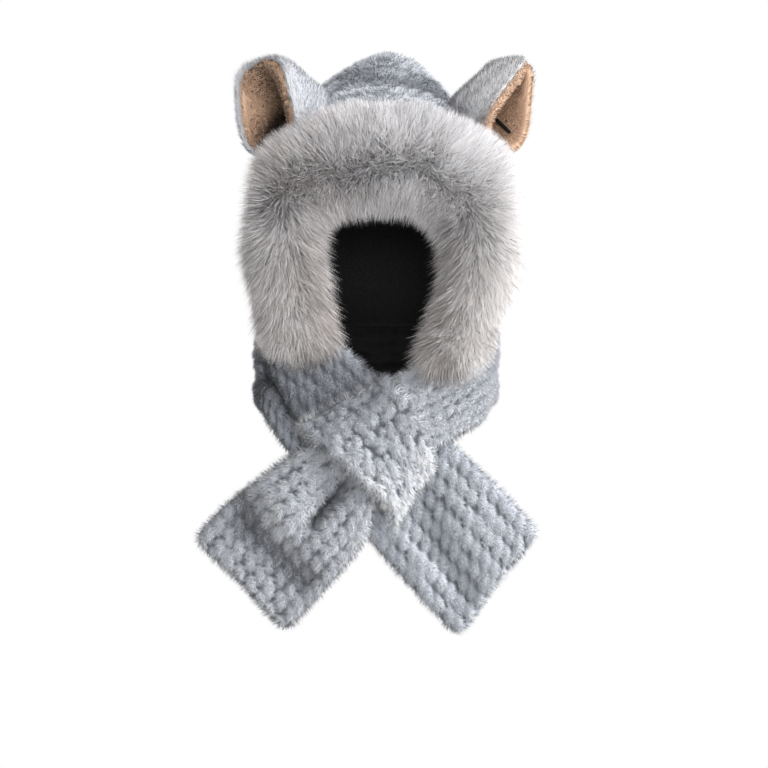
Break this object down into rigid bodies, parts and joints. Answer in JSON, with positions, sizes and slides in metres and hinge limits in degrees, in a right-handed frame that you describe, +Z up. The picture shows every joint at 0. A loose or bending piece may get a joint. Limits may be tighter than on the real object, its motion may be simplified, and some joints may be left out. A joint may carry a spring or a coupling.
{
  "type": "hooded scarf",
  "caption": "Knitted fur hood with a deep fur ruff round the face, cup-shaped plush ears and a long knitted scarf drawn through a loop sewn on its other end",
  "frame": {"origin": "where the inside of the hood's crown rests on the top of the head", "axes": "+Z up, -Y out of the face opening, +X to the right of a viewer who looks at the face opening"},
  "size_m": [0.3412, 0.2747, 0.583],
  "materials": {
    "knit": "chunky knitted fur yarn in blue-grey, short soft pile over braid-like rows",
    "ruff_fur": "long soft fur in light warm grey, parted along a crest",
    "ear_plush": "short grey-white plush",
    "ear_lining": "short tan plush",
    "thread": "black sewing thread, wound into a bar"
  },
  "bodies": {
    "root": {"hood_shell": "knit", "ruff": "ruff_fur", "ear_left_back": "ear_plush", "ear_left_inner": "ear_lining", "ear_right_back": "ear_plush", "ear_right_inner": "ear_lining", "ear_tack": "thread", "scarf": "knit", "scarf_loop": "knit"}
  },
  "joints": []
}
